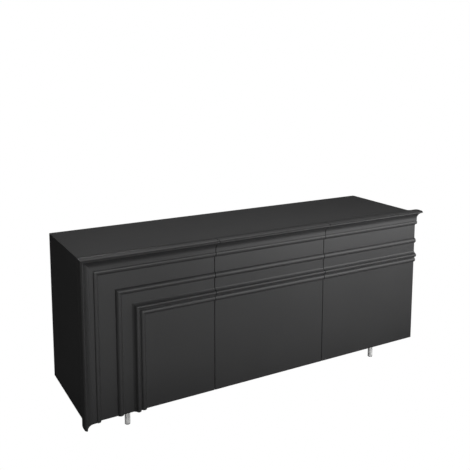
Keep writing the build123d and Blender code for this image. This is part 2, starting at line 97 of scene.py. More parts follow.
def clip_low(points, limit):
    """The closed outline with everything behind a forward distance cut off."""
    kept = []
    for a, b in zip(points, points[1:] + points[:1]):
        if a[0] >= limit:
            kept.append(a)
        if (a[0] - limit) * (b[0] - limit) < 0:
            t = (limit - a[0]) / (b[0] - a[0])
            kept.append((limit, a[1] + t * (b[1] - a[1])))
    return kept


def clip_high(points, limit):
    """The closed outline with everything forward of a distance cut off."""
    flipped = clip_low([(-v, u) for v, u in points], -limit)
    return [(-v, u) for v, u in flipped]


def rounded(corners, steps=5):
    """Closed outline through corners given as (x, y, radius)."""
    points = []
    count = len(corners)
    for i, (x, y, radius) in enumerate(corners):
        if radius <= 0:
            points.append((x, y))
            continue
        here = Vector((x, y))
        before = (Vector(corners[i - 1][:2]) - here).normalized()
        after = (Vector(corners[(i + 1) % count][:2]) - here).normalized()
        half = before.angle(after) / 2
        reach = radius / math.tan(half)
        centre = here + (before + after).normalized() * radius / math.sin(half)
        a, b = here + before * reach - centre, here + after * reach - centre
        for k in range(steps + 1):
            point = centre + a.slerp(b, k / steps).normalized() * radius
            points.append((point.x, point.y))
    return points


def inset(points, distance):
    """The outline moved inward; it runs anticlockwise."""
    moved = []
    for i, (x, y) in enumerate(points):
        here = Vector((x, y))
        first, second = here - Vector(points[i - 1]), Vector(points[(i + 1) % len(points)]) - here
        n1, n2 = Vector((-first.y, first.x)).normalized(), Vector((-second.y, second.x)).normalized()
        normal = (n1 + n2).normalized()
        here += normal * distance / max(0.5, normal.dot(n1))
        moved.append((here.x, here.y))
    return moved


def anticlockwise(points):
    """The same outline, turned round if it runs clockwise."""
    area = sum(a[0] * b[1] - b[0] * a[1] for a, b in zip(points, points[1:] + points[:1]))
    return points if area > 0 else points[::-1]


# ---------------------------------------------------------------- meshes


def finish_mesh(name, bm, smooth_angle=38):
    """Object from a bmesh, shaded smooth except across real edges, with flat faces kept flat."""
    bmesh.ops.remove_doubles(bm, verts=bm.verts, dist=1e-7)
    bmesh.ops.recalc_face_normals(bm, faces=bm.faces)
    mesh = bpy.data.meshes.new(name)
    bm.to_mesh(mesh)
    bm.free()
    made = bpy.data.objects.new(name, mesh)
    bpy.context.scene.collection.objects.link(made)
    shade(made, smooth_angle)
    return made


def shade(made, smooth_angle=38):
    for polygon in made.data.polygons:
        polygon.use_smooth = True
    made.data.set_sharp_from_angle(angle=math.radians(smooth_angle))
    even = made.modifiers.new("even_shading", "WEIGHTED_NORMAL")
    even.weight = 100
    even.keep_sharp = True


def rim_rows(outline, end, size, sign, steps=3):
    """Rows of points that round one rim of a prism, from its end inward."""
    if size <= 0:
        return [[(point, end(point)) for point in outline]]
    rows = []
    for k in range(steps + 1):
        turn = math.pi / 2 * k / steps
        narrowed = inset(outline, size * (1 - math.sin(turn)))
        along = sign * size * (1 - math.cos(turn))
        rows.append([(point, end(whole) + along) for point, whole in zip(narrowed, outline)])
    return rows


def prism(name, outline, low, high, place, soft_low=0.0, soft_high=0.0):
    """Solid swept between two ends. low and high give the end's position for each outline point,
    place turns (a, b, along) into a point, and soft_low and soft_high round the two rims."""
    outline = anticlockwise(outline)
    rows = rim_rows(outline, low, soft_low, 1) + rim_rows(outline, high, soft_high, -1)[::-1]
    bm = bmesh.new()
    rings = [[bm.verts.new(place(p[0], p[1], s)) for p, s in row] for row in rows]
    count = len(outline)
    for lower, upper in zip(rings, rings[1:]):
        for i in range(count):
            j = (i + 1) % count
            bm.faces.new((lower[i], lower[j], upper[j], upper[i]))
    bm.faces.new(rings[0][::-1])
    bm.faces.new(rings[-1])
    return finish_mesh(name, bm)


def fixed(value):
    """An end that is square: the same position for every point of the outline."""
    return lambda point: value


def along_top(v, u, s):
    """Point of a moulding that runs along the top edge."""
    return (s, FACE - v, TOP - u)


def down_left(v, u, s):
    """Point of a moulding that runs down the left edge."""
    return (LEFT + u, FACE - v, s)


def block(low, high):
    """Plain box between two corners: a cutter, or the start of a board."""
    bm = bmesh.new()
    bmesh.ops.create_cube(bm, size=1.0)
    for vert in bm.verts:
        vert.co = Vector([low[k] + (vert.co[k] + 0.5) * (high[k] - low[k]) for k in range(3)])
    return bm


def soft_box(name, low, high, radius=ARRIS, segments=3):
    """Board with softened arrises."""
    bm = block(low, high)
    bmesh.ops.bevel(
        bm,
        geom=bm.edges[:],
        offset=radius,
        segments=segments,
        profile=0.5,
        affect="EDGES",
        clamp_overlap=True,
    )
    return finish_mesh(name, bm)


def rod(start, direction, radius, length, segments=20):
    """Plain cutter: a cylinder from a point along a direction."""
    direction = Vector(direction).normalized()
    turned = direction.to_track_quat("Z", "Y").to_matrix().to_4x4()
    placed = Matrix.Translation(Vector(start) + direction * length / 2) @ turned
    bm = bmesh.new()
    bmesh.ops.create_cone(
        bm,
        cap_ends=True,
        segments=segments,
        radius1=radius,
        radius2=radius,
        depth=length,
        matrix=placed,
    )
    return bm


def cut(made, cutters):
    """Takes the cutters, none of which touch each other, out of a piece for good."""
    together = bmesh.new()
    for cutter in cutters:
        solid = bpy.data.meshes.new("cutter")
        cutter.to_mesh(solid)
        cutter.free()
        together.from_mesh(solid)
    solid = bpy.data.meshes.new("cutter")
    together.to_mesh(solid)
    together.free()
    cutter = bpy.data.objects.new("cutter", solid)
    bpy.context.scene.collection.objects.link(cutter)
    made.modifiers.clear()
    change = made.modifiers.new("cut", "BOOLEAN")
    change.object = cutter
    change.solver = "EXACT"
    bpy.context.view_layer.update()
    settled = bpy.data.meshes.new_from_object(made.evaluated_get(bpy.context.evaluated_depsgraph_get()))
    made.modifiers.clear()
    made.data = settled
    bpy.data.objects.remove(cutter)
    shade(made)
    return made


def lathe(name, profile, centre, hollow=False, segments=48):
    """Turned piece about a vertical axis. The profile lists (radius, height), up one side or, in a
    hollow piece, round its wall."""
    bm = bmesh.new()
    x, y, z = centre
    turns = [math.tau * k / segments for k in range(segments)]
    rings = [
        [bm.verts.new((x + radius * math.cos(t), y + radius * math.sin(t), z + height)) for t in turns]
        for radius, height in profile
    ]
    pairs = list(zip(rings, rings[1:] + rings[:1])) if hollow else list(zip(rings, rings[1:]))
    for lower, upper in pairs:
        for i in range(segments):
            j = (i + 1) % segments
            bm.faces.new((lower[i], lower[j], upper[j], upper[i]))
    if not hollow:
        bm.faces.new(rings[0][::-1])
        bm.faces.new(rings[-1])
    return finish_mesh(name, bm)


def gather(name, pieces, copies=(Matrix.Identity(4),)):
    """One object from several, repeated at each of the given places."""
    bm = bmesh.new()
    for place in copies:
        for piece in pieces:
            mesh = piece.data.copy()
            mesh.transform(place)
            bm.from_mesh(mesh)
    for piece in pieces:
        bpy.data.objects.remove(piece)
    return finish_mesh(name, bm)


# ---------------------------------------------------------------- materials


def new_material(name):
    material = bpy.data.materials.new(name)
    material.use_nodes = True
    return material, material.node_tree.nodes, material.node_tree.links


def noise(nodes, links, coordinates, scale, detail=4.0, stretch=None):
    texture = nodes.new("ShaderNodeTexNoise")
    texture.inputs["Scale"].default_value = scale
    texture.inputs["Detail"].default_value = detail
    if stretch:
        mapping = nodes.new("ShaderNodeMapping")
        mapping.inputs["Scale"].default_value = stretch
        links.new(coordinates, mapping.inputs["Vector"])
        coordinates = mapping.outputs["Vector"]
    links.new(coordinates, texture.inputs["Vector"])
    return texture.outputs["Fac"]


def ramp(nodes, links, value, low, high, colours):
    blend = nodes.new("ShaderNodeValToRGB")
    blend.color_ramp.elements[0].position = low
    blend.color_ramp.elements[1].position = high
    for element, colour in zip(blend.color_ramp.elements, colours):
        element.color = (*colour, 1)
    links.new(value, blend.inputs["Fac"])
    return blend.outputs["Color"]


def span_value(nodes, links, value, low, high):
    change = nodes.new("ShaderNodeMapRange")
    change.inputs["To Min"].default_value = low
    change.inputs["To Max"].default_value = high
    links.new(value, change.inputs["Value"])
    return change.outputs["Result"]


def bump(nodes, links, height, strength, distance, under=None):
    node = nodes.new("ShaderNodeBump")
    node.inputs["Strength"].default_value = strength
    node.inputs["Distance"].default_value = distance
    links.new(height, node.inputs["Height"])
    if under:
        links.new(under, node.inputs["Normal"])
    return node.outputs["Normal"]


def lacquer(name, dark, light, rough, peel=0.03):
    """Sprayed or moulded surface: faint cloudiness in colour and sheen, and a fine orange peel."""
    material, nodes, links = new_material(name)
    shader = nodes["Principled BSDF"]
    where = nodes.new("ShaderNodeTexCoord").outputs["Object"]
    cloud = noise(nodes, links, where, scale=2.2, detail=3)
    links.new(ramp(nodes, links, cloud, 0.3, 0.7, (dark, light)), shader.inputs["Base Color"])
    haze = noise(nodes, links, where, scale=7.0, detail=5)
    links.new(span_value(nodes, links, haze, rough - 0.035, rough + 0.035), shader.inputs["Roughness"])
    fine = noise(nodes, links, where, scale=420.0, detail=2)
    wave = noise(nodes, links, where, scale=38.0, detail=2)
    surface = bump(nodes, links, fine, peel, distance=0.0002)
    rippled = bump(nodes, links, wave, peel * 0.8, distance=0.0008, under=surface)
    links.new(rippled, shader.inputs["Normal"])
    return material


def brushed_metal(name, dark, light, rough, stretch, metallic=1.0):
    """Satin metal with fine lines that run along the axis whose stretch is small."""
    material, nodes, links = new_material(name)
    shader = nodes["Principled BSDF"]
    where = nodes.new("ShaderNodeTexCoord").outputs["Object"]
    lines = noise(nodes, links, where, scale=900.0, detail=3, stretch=stretch)
    links.new(ramp(nodes, links, lines, 0.3, 0.7, (dark, light)), shader.inputs["Base Color"])
    smudge = noise(nodes, links, where, scale=14.0, detail=4)
    links.new(span_value(nodes, links, smudge, rough - 0.06, rough + 0.06), shader.inputs["Roughness"])
    shader.inputs["Metallic"].default_value = metallic
    links.new(bump(nodes, links, lines, strength=0.12, distance=0.00005), shader.inputs["Normal"])
    return material


def grained_wood(name, dark, light, rough, stretch):
    """Matt wood with grain drawn out along the axes whose stretch is small."""
    material, nodes, links = new_material(name)
    shader = nodes["Principled BSDF"]
    where = nodes.new("ShaderNodeTexCoord").outputs["Object"]
    grain = noise(nodes, links, where, scale=60.0, detail=7, stretch=stretch)
    links.new(ramp(nodes, links, grain, 0.35, 0.68, (dark, light)), shader.inputs["Base Color"])
    links.new(span_value(nodes, links, grain, rough - 0.05, rough + 0.08), shader.inputs["Roughness"])
    links.new(bump(nodes, links, grain, strength=0.18, distance=0.0003), shader.inputs["Normal"])
    return material


SLOT_MATERIALS = {
    "black_lacquer": lacquer("black_lacquer", (0.034, 0.034, 0.0345), (0.039, 0.039, 0.0395), rough=0.42),
    "interior_board": lacquer(
        "interior_board", (0.024, 0.024, 0.024), (0.032, 0.032, 0.032), rough=0.55, peel=0.08
    ),
    "drawer_wood": grained_wood(
        "drawer_wood", (0.020, 0.019, 0.018), (0.050, 0.047, 0.044), rough=0.5, stretch=(0.06, 0.06, 1.0)
    ),
    # a pale satin finish, hardly metallic: the near-white colour is partly the legs' own pale tone and
    # partly a painted reflection of the bright surroundings that the steel would mirror
    "leg_metal": brushed_metal(
        "leg_metal",
        (0.9, 0.9, 0.89),
        (0.97, 0.97, 0.96),
        rough=0.32,
        stretch=(1.0, 1.0, 0.03),
        metallic=0.05,
    ),
    "steel_hardware": brushed_metal(
        "steel_hardware", (0.42, 0.42, 0.43), (0.58, 0.58, 0.6), rough=0.34, stretch=(1.0, 0.05, 1.0)
    ),
    "dowel_wood": grained_wood(
        "dowel_wood", (0.42, 0.29, 0.17), (0.62, 0.46, 0.29), rough=0.6, stretch=(1.0, 1.0, 0.08)
    ),
    "pad_plastic": lacquer(
        "pad_plastic", (0.030, 0.030, 0.030), (0.040, 0.040, 0.040), rough=0.6, peel=0.2
    ),
    "catch_plastic": lacquer(
        "catch_plastic", (0.018, 0.018, 0.018), (0.026, 0.026, 0.026), rough=0.5, peel=0.15
    ),
}
NODE_SLOT = {part["node"]: part["material_slot"] for part in frame["record"]["subparts"]}
NODE_BODY = {node: body for body, nodes in frame["record"]["behaviour"]["bodies"].items() for node in nodes}


def paint(made, material):
    made.data.materials.clear()
    made.data.materials.append(material)


def belongs(made, body, slot):
    """A piece on a body, with the finish of one of the record's slots."""
    paint(made, SLOT_MATERIALS[slot])
    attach(made, body)


def stands_for(made, node):
    """A piece that takes a CAD node's place, body and finish."""
    belongs(made, NODE_BODY[node], NODE_SLOT[node])
    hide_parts(node)


for node, made in frame["nodes"].items():
    paint(made, SLOT_MATERIALS[NODE_SLOT[node]])

# ---------------------------------------------------------------- moulding sections

BOARD = (FRONT_BACK - FACE) / MM
LET_IN = (TOP - span("cornice_return_top", 2)[0]) / MM
FLARE = [
    *arc((-60, 0), (-38.5, -4.1), (-18, -10), 12),
    *arc((-18, -10), (3, -16.2), (25, -18.3), 12),
    (25, -18.3),
]
CORNICE = clip_low(
    [
        *FLARE,
        *arc((40, -17.4), (51, -15), (55, -10.5), 10),
        *arc((55, -10.5), (54, -7.6), (51, -6), 6),
        *arc((51, -6), (30.6, 3.2), (17, 17), 12),
        *arc((17, 17), (13.4, 23.6), (12.2, 31), 5),
        (12.2, 31),
        (12.2, 44.5),
        (10.8, 45.2),
        (10.8, 46.6),
        *arc((14.2, 48), (15.6, 54), (14.2, 60.5)),
        (14.2, 60.5),
        *arc((12.6, 61.2), (11.6, 63.4), (8.5, 64.8), 5),
        *arc((8.5, 64.8), (2.8, 66.6), (0, 71)),
        (0, 71),
        (0, 0),
        (-BOARD, 0),
        (-60, 0),
    ],
    -BOARD,
)
RETURN = clip_high([*FLARE, (25, LET_IN), (-60, LET_IN)], (FACE - CARCASS_FRONT) / MM)
TORUS = [
    *arc((0, 143), (7.2, 148.2), (10.8, 156), 10),
    *arc((10.8, 156), (8.6, 165), (0, 171.5), 10),
    (0, 171.5),
]
DOUBLE_BEAD = [
    *arc((0, 217), (4.6, 224), (12, 229.5)),
    *arc((12, 229.5), (16.6, 232.8), (17.8, 237)),
    *arc((17.8, 237), (15.2, 244.5), (7, 249.5)),
    (7, 249.5),
    (4, 250.3),
    *arc((4, 253.6), (8.6, 256.8), (11, 262.5)),
    *arc((11, 262.5), (11.2, 268), (8.8, 273)),
    *arc((8.8, 273), (6.8, 275.2), (3, 276), 4),
    *arc((3, 276), (1, 276.8), (0, 278.5), 4),
    (0, 278.5),
]


def metres(section):
    return [(v * MM, u * MM) for v, u in section]


def mitre_top(point):
    """Left end of a moulding along the top, cut to meet the one down the side."""
    return LEFT + point[1]


def mitre_side(point):
    """Upper end of a moulding down the left side, cut to meet the one along the top."""
    return TOP - point[1]


PLATE_EYE = 5.5 * MM  # radius of a hinge plate's eye about the pivot
SLOT_SLACK = 0.3 * MM  # above and below a plate that turns in its slot
SLOT_INWARD, SLOT_OUTWARD = 29 * MM, 30 * MM  # from the pivot, the outward end past the door's edge


def hinge_slots(side):
    """Cutters for the slots in a door's edge that its two hinge plates turn in."""
    cutters = []
    for level in ("lower", "upper"):
        low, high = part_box(f"{side}_{level}_hinge_plate")
        pivot_x = low[0] + PLATE_EYE if side == "left" else high[0] - PLATE_EYE
        inward = 1 if side == "left" else -1
        ends = sorted((pivot_x + inward * SLOT_INWARD, pivot_x - inward * SLOT_OUTWARD))
        slot_low = (ends[0], low[1] - MM, low[2] - SLOT_SLACK)
        cutters.append(block(slot_low, (ends[1], 0, high[2] + SLOT_SLACK)))
    return cutters


for kind, section in (("cornice", CORNICE), ("torus", TORUS), ("double_bead", DOUBLE_BEAD)):
    section = metres(section)
    for body in ("middle_front", "right_door"):
        node = f"{body}_{kind}"
        ends = [fixed(end) for end in span(node, 0)]
        stands_for(prism(f"{node}_moulding", section, *ends, along_top, RIM, RIM), node)
    node = f"left_door_{kind}_top"
    right_end = fixed(span(node, 0)[1])
    stands_for(prism(f"{node}_moulding", section, mitre_top, right_end, along_top, soft_high=RIM), node)
    node = f"left_door_{kind}_side"
    moulding = prism(f"{node}_moulding", section, fixed(BASE), mitre_side, down_left, soft_low=RIM)
    if kind == "cornice":
        cut(moulding, hinge_slots("left"))
    stands_for(moulding, node)

section = metres(RETURN)
stands_for(
    prism("cornice_return_top_strip", section, mitre_top, fixed(RIGHT), along_top, soft_high=HAIRLINE),
    "cornice_return_top",
)
stands_for(
    prism("cornice_return_side_strip", section, fixed(BASE), mitre_side, down_left, soft_low=HAIRLINE),
    "cornice_return_side",
)

# ---------------------------------------------------------------- fronts

for body in ("left_door", "middle_front", "right_door"):
    node = f"{body}_board"
    front = soft_box(f"{body}_panel", *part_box(node))
    if body != "middle_front":
        cut(front, hinge_slots(body.split("_")[0]))
    stands_for(front, node)

# ---------------------------------------------------------------- carcass

RETURN_BACK = span("cornice_return_top", 1)[1]
RETURN_SIDE = LEFT + LET_IN * MM
RETURN_FLOOR = TOP - LET_IN * MM


def upright(x, y, z):
    return (x, y, z)


def plan_outline(low, high, rear_left=0.0, rear_right=0.0):
    """Outline of a panel seen from above. One that reaches the left face is cut back at the front,
    where the cornice's return is let in."""
    front_left = [(low[0], low[1], 0)]
    if low[0] < LEFT + MM:
        front_left = [(low[0], RETURN_BACK, 0), (RETURN_SIDE, RETURN_BACK, 0), (RETURN_SIDE, low[1], 0)]
    rest = [(high[0], low[1], 0), (high[0], high[1], rear_right), (low[0], high[1], rear_left)]
    return rounded(front_left + rest, 8)


for node, rims in (("top_panel", (HAIRLINE, ARRIS)), ("bottom_panel", (ARRIS, HAIRLINE))):
    low, high = span(node, 2)
    outline = plan_outline((LEFT, CARCASS_FRONT), (RIGHT, BACK), REAR_CORNER, REAR_CORNER)
    panel = prism(f"{node}_board", outline, fixed(low), fixed(high), upright, *rims)
    if node == "top_panel":
        rebate_low = (LEFT - PAST, CARCASS_FRONT - PAST, RETURN_FLOOR)
        cut(panel, [block(rebate_low, (RIGHT + PAST, RETURN_BACK, TOP + PAST))])
    stands_for(panel, node)

pin_low, pin_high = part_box("shelf_pins")
PIN_RADIUS = (pin_high[2] - pin_low[2]) / 2
PIN_Z = (pin_high[2] + pin_low[2]) / 2
PIN_ROWS = (pin_low[1] + PIN_RADIUS, pin_high[1] - PIN_RADIUS)
PIN_DEPTH = 9.5 * MM
PIN_PITCH = 32 * MM
NOTCH_START = 19.5 * MM  # from a left hinge plate's outer end to the outer edge of its arm
PIN_HOLES = range(-5, 6)  # below and above the shelf's own pins, which are in hole 0


def pin_holes(wall, inward):
    """Cutters for two rows of shelf-pin holes, from a wall's face into the wood."""
    return [
        rod((wall - inward * MM, y, PIN_Z + step * PIN_PITCH), (inward, 0, 0), PIN_RADIUS, PIN_DEPTH + MM)
        for y in PIN_ROWS
        for step in PIN_HOLES
    ]


def plate_notches(inner_face):
    """Cutters for the housings of the two left hinge plates in the side panel."""
    notches = []
    for level in ("lower", "upper"):
        low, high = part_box(f"left_{level}_hinge_plate")
        arm = low[0] + NOTCH_START
        past_low = PAST if level == "lower" else 0
        past_high = PAST if level == "upper" else 0
        notch_high = (inner_face + PAST, high[1], high[2] + past_high)
        notches.append(block((arm, CARCASS_FRONT - PAST, low[2] - past_low), notch_high))
    return notches


for side in ("left", "right"):
    node = f"{side}_side_panel"
    low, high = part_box(node)
    radii = (REAR_CORNER, 0) if side == "left" else (0, REAR_CORNER)
    outline = plan_outline(low, high, *radii)
    panel = prism(f"{node}_board", outline, fixed(low[2]), fixed(high[2]), upright, HAIRLINE, HAIRLINE)
    if side == "left":
        cut(panel, plate_notches(high[0]))
    cut(panel, pin_holes(high[0], -1) if side == "left" else pin_holes(low[0], 1))
    stands_for(panel, node)
    node = f"{side}_partition"
    low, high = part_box(node)
    panel = soft_box(f"{node}_board", low, high, radius=0.4 * MM)
    cut(panel, pin_holes(low[0], 1) if side == "left" else pin_holes(high[0], -1))
    stands_for(panel, node)
    node = f"{side}_shelf"
    stands_for(soft_box(f"{node}_board", *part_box(node), radius=1.0 * MM), node)

# ---------------------------------------------------------------- screws and the back

HEAD, SHANK = 4.0 * MM, 2.0 * MM  # radii
TIP = 0.0001 * MM  # radius that closes the ends of a screw's profile
SCREW_LENGTH, BACK_SCREW_LENGTH = 15 * MM, 25 * MM
LEG_SCREW_OFFSETS = (-22 * MM, 22 * MM)  # from the leg's centre, both ways
HINGE_SCREW_INSET = 14 * MM  # from the inner edge of the plate's foot
HINGE_SCREW_BACKS = (12 * MM, 32 * MM)  # forward of the plate's rear edge
BACK_SCREW_ROWS = 4


def screw_copies(name, length, places):
    """Countersunk screws with a cross recess; each place is a head's centre and its outward direction."""
    profile = [
        (TIP, 0),
        (HEAD - 0.3 * MM, 0),
        (HEAD, -0.15 * MM),
        (HEAD, -0.35 * MM),
        (SHANK + 0.1 * MM, -2 * MM),
        (SHANK, -2.4 * MM),
        (SHANK, -length + 4 * MM),
        (TIP, -length + 0.2 * MM),
    ]
    screw = lathe(name, profile[::-1], (0, 0, 0), segments=24)
    half, reach, depth = 0.55 * MM, 2.3 * MM, 1.3 * MM
    cut(screw, [block((-reach, -half, -depth), (reach, half, MM))])
    cut(screw, [block((-half, -reach, -depth), (half, reach, MM))])
    copies = []
    for centre, outward in places:
        turned = Vector(outward).to_track_quat("Z", "Y").to_matrix().to_4x4()
        copies.append(Matrix.Translation(centre) @ turned)
    return gather(name, [screw], copies)


LEGS = [f"{end}_{side}_leg" for end in ("front", "rear") for side in ("left", "right")]
LEG_CENTRES = []
for leg in LEGS:
    low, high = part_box(leg)
    LEG_CENTRES.append(((low[0] + high[0]) / 2, (low[1] + high[1]) / 2))
PLATE_UNDERSIDE = span("leg_plates", 2)[0]
leg_screw_places = [
    ((x + dx, y + dy, PLATE_UNDERSIDE), (0, 0, -1))
    for x, y in LEG_CENTRES
    for dx in LEG_SCREW_OFFSETS
    for dy in LEG_SCREW_OFFSETS
]
stands_for(screw_copies("leg_plate_screws", SCREW_LENGTH, leg_screw_places), "leg_screws")

hinge_screw_places = []
for side, inward in (("left", 1), ("right", -1)):
    for level, outward in (("lower", 1), ("upper", -1)):
        low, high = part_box(f"{side}_{level}_hinge_plate")
        foot = high[0] if side == "left" else low[0]
        z = high[2] if level == "lower" else low[2]
        x = foot - inward * HINGE_SCREW_INSET
        hinge_screw_places += [((x, high[1] - back, z), (0, 0, outward)) for back in HINGE_SCREW_BACKS]
stands_for(screw_copies("hinge_plate_screws", SCREW_LENGTH, hinge_screw_places), "hinge_screws")

back_low, back_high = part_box("back_panel")
partition_centres = [sum(span(f"{side}_partition", 0)) / 2 for side in ("left", "right")]
back_screw_centres = [
    (x, BACK, BASE + (TOP - BASE) * row / (BACK_SCREW_ROWS + 1))
    for x in partition_centres
    for row in range(1, BACK_SCREW_ROWS + 1)
]
back = soft_box("back_panel_board", back_low, back_high, radius=0.3 * MM)
countersinks = [
    rod((x, y + MM, z), (0, -1, 0), HEAD, length=3 * MM, segments=24) for x, y, z in back_screw_centres
]
stands_for(cut(back, countersinks), "back_panel")
back_screw_places = [(centre, (0, 1, 0)) for centre in back_screw_centres]
stands_for(screw_copies("back_screws", BACK_SCREW_LENGTH, back_screw_places), "back_panel_screws")

# ---------------------------------------------------------------- legs

LEG_WALL = 1.5 * MM
PAD_RADIUS = 12.5 * MM
PAD_PLUG = PAD_RADIUS - 1.6 * MM  # the part that fits inside the tube
PLUG_HEIGHT = 12 * MM
CORE = 0.001 * MM  # radius that closes the ends of a pad's profile

for leg, (x, y) in zip(LEGS, LEG_CENTRES):
    low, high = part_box(leg)
    outer, length, soft = (high[0] - low[0]) / 2, high[2] - low[2], 0.4 * MM
    inner = outer - LEG_WALL
    tube = [
        (inner, 0),
        (outer - soft, 0),
        (outer - soft * 0.3, soft * 0.3),
        (outer, soft),
        (outer, length),
        (inner, length),
    ]
    stands_for(lathe(f"{leg}_tube", tube, (x, y, low[2]), hollow=True, segments=64), leg)

pads = []
pad_top = span("front_left_leg", 2)[0]
for k, (x, y) in enumerate(LEG_CENTRES):
    pad = [
        (CORE, 0),
        (PAD_RADIUS - 1.6 * MM, 0),
        (PAD_RADIUS - 0.8 * MM, 0.25 * MM),
        (PAD_RADIUS - 0.2 * MM, 0.8 * MM),
        (PAD_RADIUS, 1.6 * MM),
        (PAD_RADIUS, pad_top - 0.3 * MM),
        (PAD_RADIUS - 0.3 * MM, pad_top),
        (PAD_PLUG, pad_top),
        (PAD_PLUG, pad_top + 11 * MM),
        (PAD_RADIUS - 2.6 * MM, pad_top + PLUG_HEIGHT),
        (CORE, pad_top + PLUG_HEIGHT),
    ]
    pads.append(lathe(f"pad_{k}", pad, (x, y, 0)))
stands_for(gather("foot_pad_set", pads), "foot_pads")

# ---------------------------------------------------------------- catches

# A catch's two steel poles, in millimetres.
POLE_RISES = (3.2, 7.4)
POLE_HEIGHT = 1.4
POLE_INSET = 8
POLE_DEPTH = 4

for side in ("left", "right"):
    node = f"{side}_door_catch"
    low, high = (Vector(corner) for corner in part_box(node))
    body = soft_box(f"{node}_body", low + Vector((0, 0.2 * MM, 0)), high, radius=1.2 * MM)
    poles = [
        soft_box(
            f"{node}_pole_{k}",
            (low.x + POLE_INSET * MM, low.y, low.z + rise * MM),
            (high.x - POLE_INSET * MM, low.y + POLE_DEPTH * MM, low.z + (rise + POLE_HEIGHT) * MM),
            radius=0.2 * MM,
        )
        for k, rise in enumerate(POLE_RISES)
    ]
    stands_for(body, node)
    belongs(gather(f"{node}_poles", poles), "carcass", "steel_hardware")
    node = f"{side}_door_strike"
    stands_for(soft_box(f"{node}_plate", *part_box(node), radius=0.3 * MM), node)

# ---------------------------------------------------------------- drawer boxes


def across_drawer(y, z, s):
    return (s, y, z)


def along_drawer(x, z, s):
    return (x, s, z)


for drawer in ("lower_drawer", "upper_drawer"):
    for piece in ("left_side", "right_side", "inner_front", "back"):
        node = f"{drawer}_{piece}"
        low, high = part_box(node)
        along = 1 if piece.endswith("side") else 0
        thin = 1 - along
        rim, foot = 2 * MM, 0.5 * MM
        outline = rounded(
            [
                (low[thin], low[2], foot),
                (high[thin], low[2], foot),
                (high[thin], high[2], rim),
                (low[thin], high[2], rim),
            ]
        )
        place = along_drawer if along == 1 else across_drawer
        soft = 0.4 * MM if along == 1 else HAIRLINE
        ends = (fixed(low[along]), fixed(high[along]))
        stands_for(prism(f"{node}_board", outline, *ends, place, soft, soft), node)
    node = f"{drawer}_bottom"
    stands_for(soft_box(f"{node}_board", *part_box(node), radius=HAIRLINE), node)

# ---------------------------------------------------------------- telescopic runners

# Each member in millimetres: back of its web and free end of its flanges, both measured from the
# partition, and half its height.
MEMBERS = {"outer": (0.0, 9.0, 23.0), "middle": (3.0, 10.4, 20.0), "inner": (12.7, 5.5, 17.0)}
WALL = 1.2  # of the folded steel, in millimetres
HOLE_SHARES = (0.08, 0.3, 0.52, 0.74, 0.92)  # where a member's holes lie along its length
HOLE_RADIUS = 3 * MM


def channel(web, flange, half):
    """Outline of a folded steel channel, its web towards one side."""
    inward = WALL if flange > web else -WALL
    corners = [
        (web, -half, 1.6),
        (flange, -half, 0.3),
        (flange, -half + WALL, 0.3),
        (web + inward, -half + WALL, 0.5),
        (web + inward, half - WALL, 0.5),
        (flange, half - WALL, 0.3),
        (flange, half, 0.3),
        (web, half, 1.6),
    ]
    return [(x * MM, y * MM) for x, y in rounded(corners, 4)]


outer_low, outer_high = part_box("runner_outer_members")
OUTER_HALF = MEMBERS["outer"][2] * MM
RUNNER_SPOTS = [
    (wall, toward, z)
    for z in (outer_low[2] + OUTER_HALF, outer_high[2] - OUTER_HALF)
    for wall, toward in ((outer_low[0], 1), (outer_high[0], -1))
]


def beside(wall, toward, z):
    """Place function for a runner that is measured from the partition's face."""
    return lambda a, b, s: (wall + toward * a, s, z + b)


for member, (web, flange, half) in MEMBERS.items():
    node = f"runner_{member}_members"
    start, end = span(node, 1)
    channels = []
    for k, spot in enumerate(RUNNER_SPOTS):
        bar = prism(f"{member}_{k}", channel(web, flange, half), fixed(start), fixed(end), beside(*spot))
        wall, toward, z = spot
        x = wall + toward * (web - 2) * MM
        spots = [(x, start + share * (end - start), z) for share in HOLE_SHARES]
        holes = [rod(place, (toward, 0, 0), HOLE_RADIUS, length=4 * MM) for place in spots]
        channels.append(cut(bar, holes))
    stands_for(gather(f"runner_{member}_set", channels), node)

BALL = 0.8 * MM
BALLS_IN_ROW = 16
# Each row of balls in millimetres: how far it is from the partition, and from the runner's middle
# height. The first runs between the outer and middle members, the second between middle and inner.
BALL_ROWS = ((6.7, 20.9), (7.9, 17.9))
CAGE_HALF_WIDTH, CAGE_HALF_THICKNESS = 1.6 * MM, 0.3 * MM
CAGE_FRONT, CAGE_REAR = 30 * MM, 120 * MM  # left free at the ends of the middle member
start, end = span("runner_middle_members", 1)
cages = []
for k, (wall, toward, z) in enumerate(RUNNER_SPOTS):
    for level, (outward, height) in enumerate(BALL_ROWS):
        for sign in (-1, 1):
            x, rise = wall + toward * outward * MM, z + sign * height * MM
            strip_low = (x - CAGE_HALF_WIDTH, start + CAGE_FRONT, rise - CAGE_HALF_THICKNESS)
            strip_high = (x + CAGE_HALF_WIDTH, end - CAGE_REAR, rise + CAGE_HALF_THICKNESS)
            strip = soft_box(f"cage_{k}_{level}_{sign}", strip_low, strip_high, radius=0.1 * MM, segments=1)
            cages.append(strip)
            bm = bmesh.new()
            for step in range(BALLS_IN_ROW):
                y = strip_low[1] + (strip_high[1] - strip_low[1]) * (step + 0.5) / BALLS_IN_ROW
                spot = Matrix.Translation((x, y, rise))
                bmesh.ops.create_icosphere(bm, subdivisions=2, radius=BALL, matrix=spot)
            cages.append(finish_mesh(f"balls_{k}_{level}_{sign}", bm))
belongs(gather("runner_ball_cages", cages), "runner_middle", "steel_hardware")

# ---------------------------------------------------------------- floor, light, camera

FLOOR_SIZE = 30
FLOOR_PAINT = (0.03, 0.03, 0.03, 1)  # for the light that reaches it; the camera sees it white
